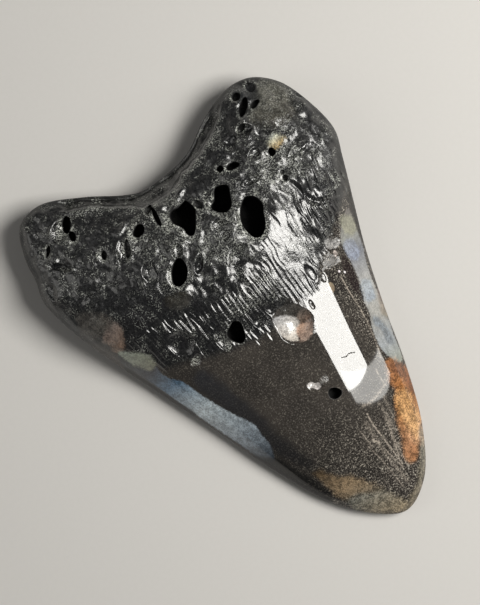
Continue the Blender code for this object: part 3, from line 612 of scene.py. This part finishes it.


# ---- markings

# Patches of another colour: outline, shades by Y, how far the edge frays, strength, and share of grain. Most
# are stains; painted shade and painted highlight are marked where they stand.
MARKINGS = {
    # Painted shade: the crown's left flank, which turns away from the light, darkened
    "painted_shade_strip": (((-25, 0), (-22, 1), (-19.5, -3), (-17.6, -9), (-16, -16), (-15, -23), (-13.6, -30),
        (-12.5, -37), (-15, -36), (-18, -30), (-20, -22), (-21.5, -14), (-23.5, -7)), {-37: "#141416",
        0: "#27292E"}, 2.2, 0.7, 0.3),
    "left_stripe": (((-36.3, 18), (-33, 15), (-30, 12), (-30.5, 8.7), (-30.1, 4.9), (-27.4, 1.7),
        (-25.8, -3), (-23.6, -8.7), (-21.1, -14), (-18.5, -19), (-18.6, -22.7), (-18.4, -26),
        (-20.5, -30.5), (-22.6, -28), (-24.6, -22), (-26.8, -16), (-29.3, -9), (-31.3, -3), (-33.3, 3),
        (-35.6, 9), (-37.6, 14)), {-30: "#1E2632", -20: "#89939C", -8: "#BAC5CB", 2: "#576F85",
        8: "#404249", 13: "#36393B", 20: "#16191D"}, 0.45, 0.95, 0.7),
    "stripe_cream": (((-36.3, 18), (-34.5, 16.3), (-30, 12), (-30.5, 8.7), (-32.4, 8.7), (-34.7, 11.7),
        (-36.3, 15.4)), {8: "#82806D", 18: "#9CA497"}, 0.9, 0.7, 0.5),
    "left_margin": (((-37.6, 13.5), (-35.2, 8), (-33, 2), (-31, -3.5), (-29.6, -7.5), (-31, -9.5),
        (-33.5, -2), (-35.8, 5), (-38.5, 12)), {-9: "#0A0A0A", 13: "#0A0A0A"}, 0.7, 0.8, 0.3),
    "navy_edge": (((-21, -28), (-18.7, -30.5), (-16.6, -35.5), (-14.4, -40.5), (-13, -46.5), (-14.8, -49),
        (-19, -42), (-23.5, -31), (-25, -25)), {-48: "#0A0A0A", -26: "#0A0A0A"}, 1.2, 0.8, 0.3),
    "right_stripe": (((31.5, 10.5), (28.5, 7), (27.8, 3), (27, -2), (25.5, -7), (24, -10), (23.6, -13),
        (22, -16), (20.8, -20), (20.6, -24), (22.6, -29), (24, -27.5), (25.3, -22.5), (26.8, -17.5),
        (28.2, -12.5), (29.6, -6), (31, -1.5), (33, 3), (34.2, 8), (35.4, 13)), {-29: "#86897E",
        -22: "#919598", -15: "#908F8B", -7: "#A2A19D", 2: "#6B6E76", 7: "#81827D", 12: "#65615E"}, 0.4,
        0.95, 0.35),
    "right_band": (((38, 20), (36, 13.5), (34.4, 8), (33.2, 2.5), (31.4, -3), (29.8, -7.5), (28.6, -13),
        (30, -12), (32.5, -5), (35.5, 3), (38.5, 10.5), (42.5, 21), (44, 28), (42.5, 29.5), (41, 26)),
        {-13: "#0A0A0A", 28: "#0A0A0A"}, 0.6, 0.75, 0.3),
    "orange_patch": (((19.4, -26), (21, -26.1), (22.3, -29), (23.2, -30.8), (22.7, -33.8), (21.7, -37.5),
        (19.7, -42.2), (16.8, -47.4), (15, -49.4), (13, -50.2), (11.3, -51.8), (9.7, -52.1), (8.9, -50.1),
        (9.8, -47.3), (11.6, -43.6), (13.6, -39.4), (15.2, -36.1), (16.9, -34), (17.6, -30)),
        {-53: "#755439", -47: "#B68C69", -38: "#8E5B27", -30: "#8E603E", -24: "#94653C"}, 1.6, 0.85, 1),
    "orange_core": (((16.9, -34), (19.4, -35.3), (19.5, -38.2), (17.8, -43.6), (16.1, -46.8), (14.4, -46.8),
        (14.2, -43.2), (14.5, -39)), {-47: "#BD986C", -34: "#AB865C"}, 1.6, 0.7, 1.2),
    "orange_red_upper": (((19.3, -26.2), (21, -26.9), (22.7, -29.2), (22.9, -32.8), (21.4, -37.9),
        (20.2, -36.4), (20.9, -32.4), (19.4, -29.1)), {-38: "#512818", -26: "#6D4D3C"}, 1, 0.6, 1),
    "orange_red_lower": (((13.1, -42.4), (12.4, -46.4), (13.2, -49.2), (11.3, -51.8), (9.6, -51.9),
        (9, -49.6), (10.4, -46.1)), {-52: "#8F6445", -42: "#60402D"}, 1.2, 0.7, 1),
    "tan_patch": (((-13.8, -38.6), (-11.8, -38.9), (-9.3, -42.4), (-5.2, -46), (-2.6, -50.1), (-0.9, -53.9),
        (-4.2, -52.3), (-7.6, -50.1), (-9.4, -50.2), (-11.5, -47), (-12.4, -43.5)), {-54: "#5E5A50",
        -47: "#87745B", -38: "#3C2F1E"}, 1.8, 0.85, 1.3),
    "tan_grey": (((-9.4, -50.2), (-4.2, -52.3), (0.2, -55.5), (1.8, -59.5), (1.5, -61.5), (-2, -60.1),
        (-5.8, -57.6), (-9.1, -54.4), (-10.8, -51.4)), {-60: "#90836D", -51: "#78776E"}, 1.8, 0.8, 1.3),
    "tip_margin": (((15.8, -49.3), (12.9, -53.5), (10, -57), (6.5, -60), (3.8, -61.4), (0.5, -62),
        (1.5, -60.5), (4.6, -58.7), (7.3, -57.3), (10.4, -53.9), (13.2, -50.4), (15.4, -46.8), (17.4, -45)),
        {-61: "#6E6555", -45: "#7C7A70"}, 1.2, 0.75, 1.3),
    "rust_patch": (((-33.7, 25.6), (-31.8, 23.5), (-32.8, 20.1), (-35, 17.3), (-36.7, 18.4), (-37, 21),
        (-38, 22.3), (-35.8, 24.2)), {18: "#776355", 25: "#716762"}, 1.2, 0.8, 0.8),
    "rough_tan": (((-41, 31.5), (-37, 31), (-33.5, 28), (-33, 24.5), (-36.5, 24), (-39.5, 24.5),
        (-41.5, 28)), {24: "#423E39", 31: "#4E4B47"}, 1.8, 0.7, 1),
    "teal_edge": (((-44.5, 38), (-42.6, 38.5), (-40.8, 34), (-40.8, 29.5), (-42.8, 27.5), (-44.5, 32)),
        {27: "#0D1D23", 38: "#0A0A0A"}, 1.2, 0.55, 0.4),
    "olive_lobe": (((28, 46), (31, 51), (36, 53), (40, 48.5), (39, 42.5), (33, 41.5)), {41: "#3D3628",
        53: "#89887E"}, 3, 0.4, 1),
    "chip_pale": (((-1.1, -18.4), (0.2, -18.5), (0.9, -19.5), (2, -19.8), (1.7, -21), (0.4, -21.2),
        (-0.3, -19.9), (-1.3, -19.4)), {-21: "#BCB6B4", -18: "#C7C3C0"}, 0.3, 0.95, 0.8),
    "chip_trail": (((2, -19), (3.3, -19.6), (3.3, -21.4), (1.6, -22.2), (1.6, -20.6)), {-21: "#322D29",
        -18: "#524D48"}, 0.8, 0.8, 1),
    "oval_pale": (((18.9, -0.2), (19.9, -0.2), (19.9, -1.7), (19.2, -2.8), (18.4, -2.6), (18.3, -1.3)),
        {-3: "#857563", 0: "#837764"}, 0.2, 0.9, 0.4),
    "maroon": (((26.6, 4), (27, 1.2), (26.5, -2.2), (25.7, -5), (24.1, -7.2), (23.5, -6), (24, -2.5),
        (24.3, 0.2)), {-7: "#21181A", 4: "#251D1C"}, 0.6, 0.7, 0.4),
    "band_fleck": (((24.1, 8.8), (25.8, 9.6), (26.6, 8.4), (28.1, 8.4), (27.9, 6.4), (26.2, 6.4),
        (24.8, 6.8)), {6: "#9F9D9C", 9: "#8C8B89"}, 0.6, 0.7, 1),
    "pink_fleck": (((25.7, 6), (24.9, 5.8), (24.9, 4.3), (25.8, 4.8)), {4: "#A89E98", 6: "#ADA39D"}, 0.3,
        0.8, 0.7),
    "dot_left": (((23, 0.7), (23.4, 1.1), (23.8, 0.7), (23.4, 0.3)), {0: "#E7DEE0", 1: "#E7DEE0"}, 0.15,
        0.95, 0.2),
    "dot_right": (((24.15, -0.3), (24.45, 0.1), (24.75, -0.3), (24.45, -0.7)), {-1: "#EDE8E9",
        0: "#EDE8E9"}, 0.15, 0.9, 0.2),
    "stripe_yellow": (((31.6, 12), (34.6, 11), (33.6, 6.5), (31, 7)), {6: "#86846D", 12: "#898977"}, 1, 0.6,
        0.4),
    "stripe_lavender": (((28.7, 6.3), (31.2, 5.6), (30.9, 1.3), (28.6, 0.4), (27.8, 2.8)), {0: "#848DA0",
        6: "#808797"}, 0.9, 0.6, 0.6),
    "stripe_blue": (((27, -4.5), (28.8, -6), (27.4, -10.5), (24.6, -10.5), (25, -8)), {-10: "#7C8A9B",
        -5: "#89939C"}, 1, 0.6, 0.6),
    "stripe_pink": (((29.6, -9), (28.9, -12.5), (27.6, -16.9), (26.2, -16.4), (27, -12.6)), {-17: "#7A6D54",
        -9: "#796C68"}, 0.8, 0.6, 0.6),
    "stripe_swirl": (((23.8, -13.7), (25, -16.6), (25.2, -20.4), (23.9, -23.9), (22.7, -22.2),
        (23.4, -18.6), (22.8, -15.2)), {-24: "#585D62", -14: "#606B76"}, 0.9, 0.7, 0.9),
    # The pocket is partly its own colours and partly painted light: a pale patch with a painted highlight
    # where its wall faces the softbox, over a dark one with painted shade towards +Y
    "pocket_dark_and_shade": (((1.3, 0.9), (3.3, 2.6), (5.3, 1.8), (8.9, 3.3), (10.5, 0.2), (10.8, -3.2), (9.6, -6.4),
        (7.3, -8.5), (5.1, -8.8), (3.2, -8.1), (2, -6.2), (0.9, -2.9), (0.8, -1)), {-9: "#433B35",
        3: "#31302E"}, 0.3, 0.9, 1),
    "pocket_pale_and_highlight": (((2.1, 1), (3.4, 0.6), (5.8, -1), (7.3, -3.2), (6.9, -4.6), (5.2, -5.4), (4.6, -6.6),
        (4, -7.8), (2, -6.2), (1.1, -3.7), (0.9, -0.9)), {-8: "#D0C8BD", 1: "#969698"}, 0.5, 0.9, 0.7),
    "pocket_pink": (((6.6, -4.2), (7.6, -4.4), (9.3, -5.8), (8.7, -7.4), (6.9, -8.6), (5.6, -8.7),
        (4.2, -8.1), (4.6, -6.7), (4.9, -5.3)), {-9: "#A79488", -4: "#A98974"}, 0.7, 0.85, 0.8),
    "pocket_brown": (((7.3, -2.4), (9.5, -1.5), (10.5, -3.6), (9.5, -6.3), (7.6, -4.8), (6.8, -4.6)),
        {-6: "#735A4A", -2: "#6F655D"}, 0.8, 0.7, 1),
    "cream_spot": (((29, 39.5), (30.7, 39.9), (32, 38.5), (31.9, 36.9), (30.1, 37), (28.7, 36.8),
        (28.3, 38.3)), {37: "#A68C57", 40: "#E3E7D5"}, 1.7, 0.8, 1.2),
    "lobe_navy": (((28.2, 55.2), (30.7, 54.6), (34.2, 54.2), (33.8, 51.1), (31.7, 48.5), (29, 48.8),
        (26.7, 47.9), (25.7, 49.5), (27.7, 52.2)), {48: "#0A0A0A", 55: "#12161B"}, 1.4, 0.8, 0.5),
    "brown_smudge": (((-17.9, 21.5), (-13.6, 20.9), (-11.9, 18.4), (-13.7, 16.8), (-16.9, 17.6),
        (-18.5, 19.7)), {17: "#403E3A", 21: "#29261E"}, 1.2, 0.7, 0.8),
}
MARKING_POINT_SPACING = 1.5
MARKING_REACH = 4  # distances from a marking's outline are kept up to this

# Pale streaks in the enamel and painted glints: points, strength, half width
STREAKS_AND_GLINTS = (
    # painted glints down the polished tip, to the row at X 13.6
    (((7.2, -34), (6.8, -37.9), (7, -40.8), (7, -45.3), (7.2, -50.5)), 1, 0.2),
    (((10.5, -38.3), (9.8, -41.2), (8.9, -43.9), (7.5, -48.5)), 0.9, 0.3),
    (((4.5, -40.7), (5.4, -42.2)), 1, 0.4),
    (((2.5, -41.5), (3.3, -46.6), (3.6, -52.4), (3.8, -55.9)), 0.6, 0.2),
    (((3.1, -36.9), (3.3, -42)), 0.6, 0.2),
    (((9.3, -44.2), (8.5, -48.7), (8, -52)), 0.8, 0.2),
    (((16, -26.1), (15.6, -29.7)), 0.8, 0.22),
    (((5.7, -44.9), (6.3, -48.7), (6.7, -51.2)), 0.8, 0.2),
    (((11.6, -34), (11, -38), (10.8, -42)), 0.5, 0.5),
    (((5.6, -36), (5, -42), (5.2, -50), (5.6, -55)), 0.45, 0.5),
    (((13.6, -33), (12.4, -39)), 0.4, 0.4),
    # a real scratch, over this row and the next
    (((22.9, -0.5), (22.4, -5.2), (22.3, -8.8), (21.7, -14.3)), 1, 0.16),
    (((21.7, -14.3), (20.4, -20), (19, -24.5)), 0.6, 0.22),
    # painted pale edge where the softbox's reflection ends
    (((7.5, -31.6), (9.3, -32.2), (11.7, -31.9), (14.2, -31.2), (16.8, -30), (18.8, -28.1)), 0.7, 0.35),
)


def streak_and_glint_share(x, y):
    """How much of the pale streaks and painted glints each point has."""
    return np.maximum.reduce([
        strength * line_glow(x, y, points, half_width) for points, strength, half_width in STREAKS_AND_GLINTS])


def add(tree, kind, *values, output=None, **settings):
    """Adds a shader node with its settings, and sets or links its inputs in order. None leaves one alone."""
    node = tree.nodes.new("ShaderNode" + kind)
    for name, value in settings.items():
        setattr(node, name, value)
    for socket, value in zip((socket for socket in node.inputs if socket.enabled), values):
        if isinstance(value, bpy.types.NodeSocket):
            tree.links.new(value, socket)
        elif value is not None:
            socket.default_value = value
    return node.outputs[output] if output else next(socket for socket in node.outputs if socket.enabled)


# Settings that many nodes share. A Math node with none of them adds.
COLOURS = {"data_type": "RGBA"}
SMOOTH = {"interpolation_type": "SMOOTHSTEP"}
TIMES = {"operation": "MULTIPLY"}
TIMES_PLUS = {"operation": "MULTIPLY_ADD"}
HIGHER = {"operation": "MAXIMUM"}


def grains(size_mm):
    """The scale of a noise whose grains are that many mm across."""
    return 1 / (size_mm * MM)


def enamel_colour(node, place, along, fine, cloud, streaks_and_glints, crown):
    """Grains of half a millimetre, in stronger contrast towards the tip and drawn out into faint fibres."""
    fibres = node("TexNoise", node("Mapping", place, None, None, (1, 0.08, 1)), grains(0.6), 2, 0.6)
    low = node("MapRange", along, -22 * MM, -50 * MM, 0.3, 1.1, **SMOOTH)
    right = node("MapRange", node("SeparateXYZ", place, output="X"), 14 * MM, 24 * MM, 0, 0.8, **SMOOTH)
    tip = node("Math", low, right)
    colour = node("Mix", node("MapRange", cloud, 0.35, 0.68, **SMOOTH), linear("#2E2B28"), crown, **COLOURS)
    dark = node("Math", node("MapRange", fine, 0.5, 0.34, **SMOOTH), tip, **TIMES)
    colour = node("Mix", dark, colour, linear("#1A1816"), **COLOURS)
    drawn = node("MapRange", fibres, 0.3, 0.7, 0.3, 1, **SMOOTH)
    bright = node("Math", node("MapRange", fine, 0.53, 0.66, **SMOOTH), drawn, **TIMES)
    colour = node("Mix", node("Math", bright, tip, **TIMES), colour, linear("#B0A99D"), **COLOURS)
    # Pale streaks, and painted glints, over the enamel
    pale = node("Math", streaks_and_glints, node("MapRange", fine, 0.38, 0.56, 0.1, 1, **SMOOTH), **TIMES)
    return node("Mix", pale, colour, linear("#A69C90"), **COLOURS)


def stained(node, colour, place, along, fine):
    """The mineral stains over the colour, and a few patches of painted shade and highlight: their edges
    wander, and grains show through.
    """
    coarse = node("TexNoise", place, grains(1.6), 3, 0.7)
    mottle = node("Math", coarse, 0.5, node("Math", fine, 0.5, **TIMES), **TIMES_PLUS)
    level = node("MapRange", mottle, 0.4, 0.62, 0.45, 1.65, **SMOOTH)
    grey = node("CombineXYZ", level, level, level)
    for name, (_, shades, fray, strength, grained) in MARKINGS.items():
        inside = node("Attribute", output="Fac", attribute_name=name)
        wander = node("Math", node("TexNoise", place, grains(2.5 * fray)), fine)
        wander = node("Math", wander, 1.4 * fray, -1.4 * fray, **TIMES_PLUS)
        mask = node("MapRange", node("Math", inside, wander), -0.6 * fray, 0.6 * fray, 0, strength, **SMOOTH)
        low, high = min(shades) - 1, max(shades) + 1
        tint = node("ValToRGB", node("MapRange", along, low * MM, high * MM))
        stops = tint.node.color_ramp.elements
        for number, (y, shade) in enumerate(shades.items()):
            stop = stops[number] if number < 2 else stops.new(1)
            stop.position = (y - low) / (high - low)
            stop.color = linear(shade)
        mottled = node("Mix", 1, tint, grey, blend_type="MULTIPLY", **COLOURS)
        colour = node("Mix", mask, colour, node("Mix", grained, tint, mottled, **COLOURS), **COLOURS)
    return colour


def fossil_material(looks):
    """Fossil phosphate, ground and polished.

    The dense crown takes a glassy polish, so lights mirror in it with sharp edges. The porous root can't, so
    its gloss breaks up into glints. Minerals from the sediment stain the thin enamel in bands and patches.
    """
    material = bpy.data.materials.new("polished_fossil_phosphate")
    material.use_nodes = True
    tree = material.node_tree
    node = partial(add, tree)
    shader = tree.nodes["Principled BSDF"]
    place = node("TexCoord", output="Object")
    along = node("SeparateXYZ", place, output="Y")
    root, rough, cavity, bowl, crystals_and_sheen, shelf, margin, streaks_and_glints = (
        node("Attribute", output="Fac", attribute_name=name)
        for name in ("root", "grain", "cavity", "bowl", "crystals_and_sheen", "shelf", "margin", "streaks_and_glints"))
    fine = node("TexNoise", place, grains(0.42), 2, 0.8)
    cloud = node("TexNoise", place, grains(11))

    # Root: charcoal, with pale crystals in clusters and around the borings, partly painted sheen and painted
    # highlight
    grain = node("TexNoise", place, grains(0.6), 3, 0.8)
    light = node("MapRange", grain, 0.38, 0.66, **SMOOTH)
    stone = node("Mix", light, linear("#0A0B0C"), looks.root[:], **COLOURS)
    # Painted shade: the lower shelf beyond the ledge is darkened
    stone = node("Mix", shelf, stone, linear("#0B0B0B"), **COLOURS)
    thick = node("Math", crystals_and_sheen, 0.09, node("TexNoise", place, grains(0.38), 1, 0.6), **TIMES_PLUS)
    crystals = node("MapRange", thick, 0.55, 0.65, **SMOOTH)
    clusters = node("MapRange", node("TexNoise", place, grains(3.2), 3, 0.6), 0.42, 0.66, 0, 0.6, **SMOOTH)
    clusters = node("Math", clusters, node("MapRange", rough, 0.2, 0.9, 0.25, 1, **SMOOTH), **TIMES)
    patchy = node("MapRange", node("TexNoise", place, grains(2.4)), 0.4, 0.58, 0.35, 1, **SMOOTH)
    crystals_and_sheen = node("Math", crystals_and_sheen, patchy, **TIMES)
    clusters = node("Math", node("Math", clusters, root, **TIMES), crystals_and_sheen, **HIGHER)
    enamel = enamel_colour(node, place, along, fine, cloud, streaks_and_glints, looks.crown[:])
    colour = node("Mix", root, enamel, stone, **COLOURS)
    colour = node("Mix", node("Math", crystals, clusters, **TIMES), colour, linear("#B2B4AC"), **COLOURS)
    colour = stained(node, colour, place, along, fine)

    # Painted shade: the borings are darkened to near black inside, less in shallow ones
    colour = node("Mix", cavity, colour, linear("#070707"), **COLOURS)
    tree.links.new(colour, shader.inputs["Base Color"])

    roughness = node("MapRange", cloud, 0.3, 0.7, 0.03, 0.05, **SMOOTH)
    unpolished = node("MapRange", grain, 0.35, 0.65, 0.27, 0.43, **SMOOTH)
    for share, there in ((rough, unpolished), (bowl, 0.22), (margin, 0.5), (cavity, 0.9)):
        roughness = node("Mix", share, roughness, there)
    tree.links.new(roughness, shader.inputs["Roughness"])
    shader.inputs["IOR"].default_value = 1.6

    # The wheel has burnished the high parts of the root, which glint over the duller stone
    bare = node("Math", cavity, margin, **HIGHER)
    burnish = node("Math", rough, node("Math", 1, bare, operation="SUBTRACT"), **TIMES)
    tree.links.new(node("Math", burnish, 0.5, **TIMES), shader.inputs["Coat Weight"])
    shader.inputs["Coat Roughness"].default_value = 0.12

    # Pores too small for the mesh: deep among the crystals, shallow elsewhere
    pits = node("Math", node("TexNoise", place, grains(0.45), 1, 0.6), rough, **TIMES)
    pits = node("Math", pits, node("MapRange", clusters, 0, 0.8, 0.4, 1, **SMOOTH), **TIMES)
    tree.links.new(node("Bump", 1, 0.24 * MM, None, pits), shader.inputs["Normal"])
    return material


def floor_material(settings):
    """Matt paper sweep: even and pale, with no gloss to compete with the polish."""
    material = bpy.data.materials.new("matt_paper")
    material.use_nodes = True
    node = partial(add, material.node_tree)
    shader = material.node_tree.nodes["Principled BSDF"]
    # Real fibres are too fine to show, so the mottle they give is drawn over a millimetre coarse
    mottle = node("TexNoise", node("TexCoord", output="Object"), grains(1.2))
    share = node("MapRange", mottle, 0.3, 0.7, 0, 0.04, **SMOOTH)
    pale = node("Mix", share, settings.floor_colour[:], linear("#A9A7A3"), **COLOURS)
    material.node_tree.links.new(pale, shader.inputs["Base Color"])
    shader.inputs["Roughness"].default_value = 0.9
    shader.inputs["Specular IOR Level"].default_value = 0.2
    return material


# ---- stage

PICTURE_TURN = 36.0  # the tooth leans that many degrees to the right in the picture
PICTURE_MIDDLE = (-2.63, 9.44)
PICTURE_HEIGHT = 161.2  # what the picture takes in at the height of the rim
RIM_PLANE = 6.0

# Each softbox faces a point of the tooth: azimuth and elevation in degrees, distance, how far it is moved
# across and along its own plane, roll, sides, brightness
LIT_POINT = (13.0, -12.0, 16.0)
SOFTBOXES = {
    "softbox": (-36, 51, 550, 0, 108, 0, 285, 282, 1.0),
    "softbox_skirt": (-36, 51, 552, 165, -60, -6, 590, 46, 0.36),
    "softbox_far": (150, 30, 1100, 0, 0, 0, 900, 500, 0.08),
}
SOFTBOX_COLOUR = "#FFFDF8"
TRIANGLE_LIMIT = 200_000

# ---- settings and operators


def colour_property(name, description, colour):
    return FloatVectorProperty(
        name=name, description=description, subtype="COLOR", size=4, min=0, max=1, default=linear(colour))


class ToothLooks(bpy.types.PropertyGroup):
    """Colours of the tooth's surface."""

    crown: colour_property("Crown", "Brown-grey of the polished enamel", "#3A3632")
    root: colour_property("Root", "Charcoal of the porous root", "#222223")


class StageLooks(bpy.types.PropertyGroup):
    """The floor, the lights and the camera."""

    floor_colour: colour_property("Floor", "Pale paper under the tooth", "#C4C2BF")
    floor_size: FloatProperty(
        name="Floor size", description="Length of the floor's sides", default=3, min=0.5, unit="LENGTH")
    softbox_brightness: FloatProperty(
        name="Softbox brightness", description="Watts per square metre of softbox", default=52.5, min=0)
    fill: FloatProperty(
        name="Fill", description="Brightness of the light from all around", default=0.08, min=0)
    camera_distance: FloatProperty(
        name="Camera distance", description="Height of the camera above the floor", default=0.7, min=0.2,
        unit="LENGTH")


def rim_curves():
    """The rim as many points and as few, both filling the tooth's box."""
    half = np.array([NOMINAL_WIDTH, NOMINAL_LENGTH]) / 2
    fine = closed_curve(np.array(RIM) * half, spacing=RIM_POINT_SPACING)
    coarse = closed_curve(np.array(RIM) * half, count=COARSE_RIM_POINTS)
    low, high = fine.min(0), fine.max(0)
    return ((curve - (low + high) / 2) * 2 * half / (high - low) for curve in (fine, coarse))


def tooth_mesh():
    """The whole surface of the tooth as one closed mesh, with its masks as attributes."""
    rim, coarse_rim = rim_curves()
    cavities = cavity_outlines()
    upper, upper_faces = triangulate(rim, upper_points(rim, coarse_rim, cavities))
    labial, labial_faces = triangulate(rim, labial_points(rim, coarse_rim))

    count = len(rim)
    inwards = distance_from_rim(*upper.T, coarse_rim)
    inwards[:count] = 0
    upper_z, masks = upper_height(*upper.T, inwards, cavities)
    below = labial[count:]
    labial_z = labial_height(*below.T, distance_from_rim(*below.T, coarse_rim))
    plan = np.vstack([upper, below])
    verts = np.column_stack([plan * MM + MIDDLE[:2], np.concatenate([upper_z, labial_z]) * MM + LOW[2]])
    labial_faces = np.where(labial_faces < count, labial_faces, labial_faces + len(upper) - count)[:, ::-1]

    root_below = rootness(below[:, 1])
    for name, share in masks.items():
        share_below = root_below if name in ("root", "grain") else 0 * root_below
        masks[name] = np.concatenate([share, share_below])
    masks["streaks_and_glints"] = streak_and_glint_share(*plan.T)
    for name, (outline, *_) in MARKINGS.items():
        inside = inside_distance(*plan.T, closed_curve(outline, spacing=MARKING_POINT_SPACING))
        masks[name] = np.clip(inside, -MARKING_REACH, MARKING_REACH)

    mesh = bpy.data.meshes.new("megalodon_tooth")
    mesh.from_pydata(verts.tolist(), [], np.vstack([upper_faces, labial_faces]).tolist())
    for name, values in masks.items():
        mesh.attributes.new(name, "FLOAT", "POINT").data.foreach_set("value", values.astype(np.float32))
    mesh.shade_smooth()
    return mesh


class TOOTH_OT_surface(bpy.types.Operator):
    """Builds the tooth's finished surface in place of its plain solid"""

    bl_idname = "tooth.surface"
    bl_label = "Tooth"

    def execute(self, context):
        mesh = tooth_mesh()
        if len(mesh.polygons) > TRIANGLE_LIMIT:
            raise RuntimeError(f"{len(mesh.polygons)} triangles are too many: widen the spacings")
        tooth = bpy.data.objects.new("megalodon_tooth", mesh)
        context.scene.collection.objects.link(tooth)
        mesh.materials.append(fossil_material(context.scene.tooth_looks))
        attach(tooth, "root")
        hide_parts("tooth")
        return {"FINISHED"}


def add_softbox(name, azimuth, elevation, distance, across, along, roll, width, length, brightness):
    """A rectangular light that faces the tooth, which mirrors it as a strip."""
    azimuth, elevation = math.radians(azimuth), math.radians(elevation)
    level = math.cos(elevation)
    back = Vector((level * math.cos(azimuth), level * math.sin(azimuth), math.sin(elevation)))
    side = Vector((0, 1, 0)).cross(back).normalized()
    turn = Matrix((side, back.cross(side), back)).transposed()
    data = bpy.data.lights.new(name, "AREA")
    data.shape = "RECTANGLE"
    data.size = width * MM
    data.size_y = length * MM
    data.energy = brightness * data.size * data.size_y
    data.color = linear(SOFTBOX_COLOUR)[:3]
    light = bpy.data.objects.new(name, data)
    bpy.context.scene.collection.objects.link(light)
    place = Matrix.Translation((Vector(LIT_POINT) + turn @ Vector((across, along, distance))) * MM)
    light.matrix_world = place @ turn.to_4x4() @ Matrix.Rotation(math.radians(roll), 4, "Z")


class TOOTH_OT_stage(bpy.types.Operator):
    """Adds the floor, the lights and the camera"""

    bl_idname = "tooth.stage"
    bl_label = "Stage"

    def execute(self, context):
        looks = context.scene.stage_looks
        bpy.ops.mesh.primitive_plane_add(size=looks.floor_size, location=(0, 0, LOW[2]))
        floor = context.object
        floor.name = "floor"
        floor.data.materials.append(floor_material(looks))

        world = bpy.data.worlds.new("studio")
        world.use_nodes = True
        background = world.node_tree.nodes["Background"]
        background.inputs["Color"].default_value = linear("#FFFFFF")
        background.inputs["Strength"].default_value = looks.fill
        context.scene.world = world

        for name, (*place, brightness) in SOFTBOXES.items():
            add_softbox(name, *place, brightness * looks.softbox_brightness)

        camera = bpy.data.objects.new("camera", bpy.data.cameras.new("camera"))
        context.scene.collection.objects.link(camera)
        camera.location = (PICTURE_MIDDLE[0] * MM, PICTURE_MIDDLE[1] * MM, looks.camera_distance)
        camera.rotation_euler.z = math.radians(-PICTURE_TURN)
        reach = looks.camera_distance - RIM_PLANE * MM
        camera.data.lens = camera.data.sensor_width * reach / (PICTURE_HEIGHT * MM)
        context.scene.camera = camera
        context.scene.view_settings.view_transform = "Standard"
        return {"FINISHED"}


class TOOTH_PT_panel(bpy.types.Panel):
    """Lists the tooth's operators and their settings"""

    bl_label = "Megalodon Tooth"
    bl_space_type = "VIEW_3D"
    bl_region_type = "UI"
    bl_category = "Tooth"

    def draw(self, context):
        layout = self.layout
        scene = context.scene
        for operator, settings in (("tooth.surface", scene.tooth_looks), ("tooth.stage", scene.stage_looks)):
            column = layout.column()
            column.operator(operator)
            for name in settings.__annotations__:
                column.prop(settings, name)


CLASSES = (ToothLooks, StageLooks, TOOTH_OT_surface, TOOTH_OT_stage, TOOTH_PT_panel)


def register():
    for cls in CLASSES:
        bpy.utils.register_class(cls)
    bpy.types.Scene.tooth_looks = PointerProperty(type=ToothLooks)
    bpy.types.Scene.stage_looks = PointerProperty(type=StageLooks)


def unregister():
    del bpy.types.Scene.stage_looks
    del bpy.types.Scene.tooth_looks
    for cls in reversed(CLASSES):
        bpy.utils.unregister_class(cls)


def main():
    register()
    bpy.ops.tooth.surface()
    bpy.ops.tooth.stage()


if __name__ == "__main__":
    main()
